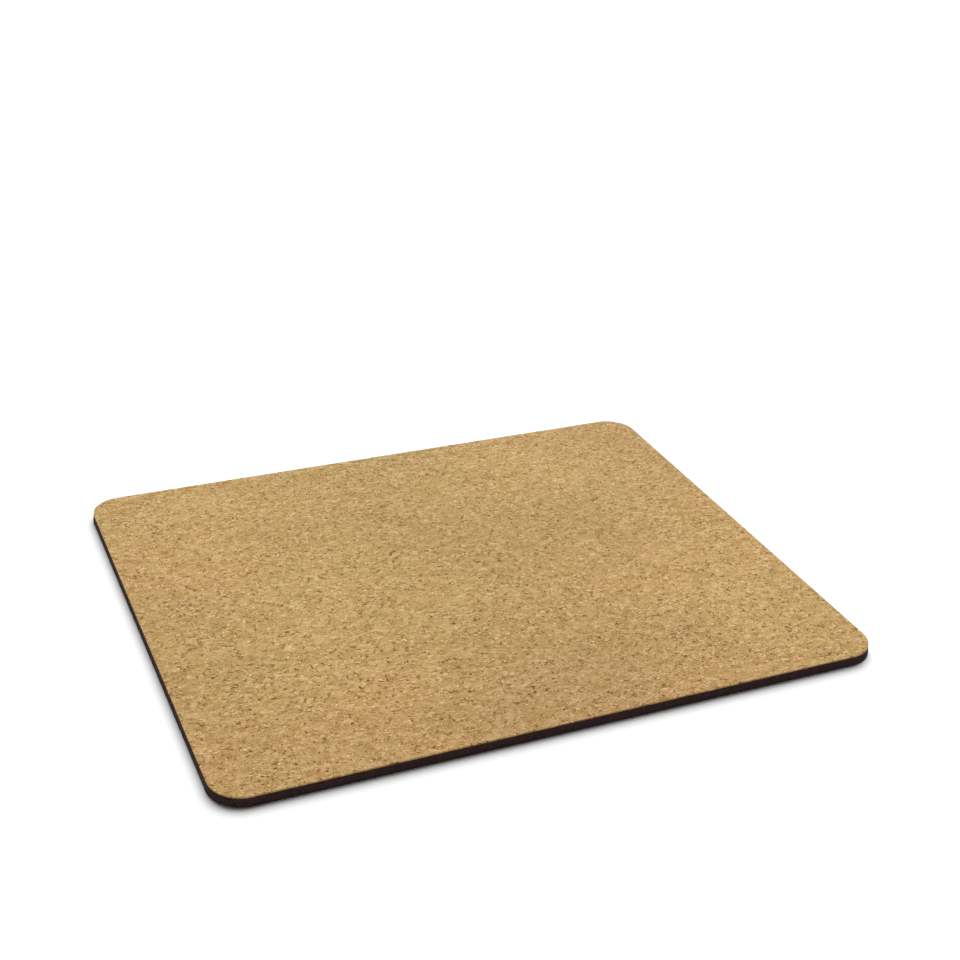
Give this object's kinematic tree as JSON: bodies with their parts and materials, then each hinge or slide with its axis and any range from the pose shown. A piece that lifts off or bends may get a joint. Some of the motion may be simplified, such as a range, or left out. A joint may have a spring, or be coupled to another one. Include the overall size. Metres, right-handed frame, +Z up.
{
  "type": "mouse pad",
  "caption": "Thin rectangular desk mat with rounded corners: a cork working face bonded to a black non-slip rubber base, with one corner that bends up.",
  "frame": {"origin": "middle of the underside, on the surface that the mat lies on", "axes": "+X along the long side, +Y along the short side, +Z up, out of the cork face; the corner that bends up is at -X, -Y"},
  "size_m": [0.24, 0.2, 0.0038],
  "materials": {
    "cork": "agglomerated cork granules, sanded, matt",
    "glue": "dried contact adhesive film",
    "rubber": "matt black, fine zigzag rows pressed into the underside"
  },
  "bodies": {
    "mat": {"cork_sheet": "cork", "glue_film": "glue", "rubber_base": "rubber"},
    "corner_strip_1": {"cork_strip_1": "cork", "glue_strip_1": "glue", "rubber_strip_1": "rubber"},
    "corner_strip_2": {"cork_strip_2": "cork", "glue_strip_2": "glue", "rubber_strip_2": "rubber"},
    "corner_strip_3": {"cork_strip_3": "cork", "glue_strip_3": "glue", "rubber_strip_3": "rubber"},
    "corner_strip_4": {"cork_strip_4": "cork", "glue_strip_4": "glue", "rubber_strip_4": "rubber"},
    "corner_strip_5": {"cork_strip_5": "cork", "glue_strip_5": "glue", "rubber_strip_5": "rubber"},
    "corner_tip": {"cork_tip": "cork", "glue_tip": "glue", "rubber_tip": "rubber"}
  },
  "joints": [
    {"name": "corner_bend_1", "type": "hinge", "parent": "mat", "child": "corner_strip_1", "pos_m": [-0.0705, -0.0505, 0.0038], "axis": [-0.7071, 0.7071, 0], "range_deg": [0, 15.5], "stiffness_Nm_per_rad": 0.05},
    {"name": "corner_bend_2", "type": "hinge", "parent": "corner_strip_1", "child": "corner_strip_2", "pos_m": [-0.07333, -0.05333, 0.0038], "axis": [-0.7071, 0.7071, 0], "range_deg": [0, 15.5], "stiffness_Nm_per_rad": 0.05},
    {"name": "corner_bend_3", "type": "hinge", "parent": "corner_strip_2", "child": "corner_strip_3", "pos_m": [-0.07616, -0.05616, 0.0038], "axis": [-0.7071, 0.7071, 0], "range_deg": [0, 15.5], "stiffness_Nm_per_rad": 0.05},
    {"name": "corner_bend_4", "type": "hinge", "parent": "corner_strip_3", "child": "corner_strip_4", "pos_m": [-0.07899, -0.05899, 0.0038], "axis": [-0.7071, 0.7071, 0], "range_deg": [0, 15.5], "stiffness_Nm_per_rad": 0.05},
    {"name": "corner_bend_5", "type": "hinge", "parent": "corner_strip_4", "child": "corner_strip_5", "pos_m": [-0.08182, -0.06182, 0.0038], "axis": [-0.7071, 0.7071, 0], "range_deg": [0, 15.5], "stiffness_Nm_per_rad": 0.05},
    {"name": "corner_bend_6", "type": "hinge", "parent": "corner_strip_5", "child": "corner_tip", "pos_m": [-0.08464, -0.06464, 0.0038], "axis": [-0.7071, 0.7071, 0], "range_deg": [0, 15.5], "stiffness_Nm_per_rad": 0.05}
  ],
  "couplings": [
    {"joint": "corner_bend_2", "follows": "corner_bend_1", "ratio": 1},
    {"joint": "corner_bend_3", "follows": "corner_bend_1", "ratio": 1},
    {"joint": "corner_bend_4", "follows": "corner_bend_1", "ratio": 1},
    {"joint": "corner_bend_5", "follows": "corner_bend_1", "ratio": 1},
    {"joint": "corner_bend_6", "follows": "corner_bend_1", "ratio": 1}
  ]
}
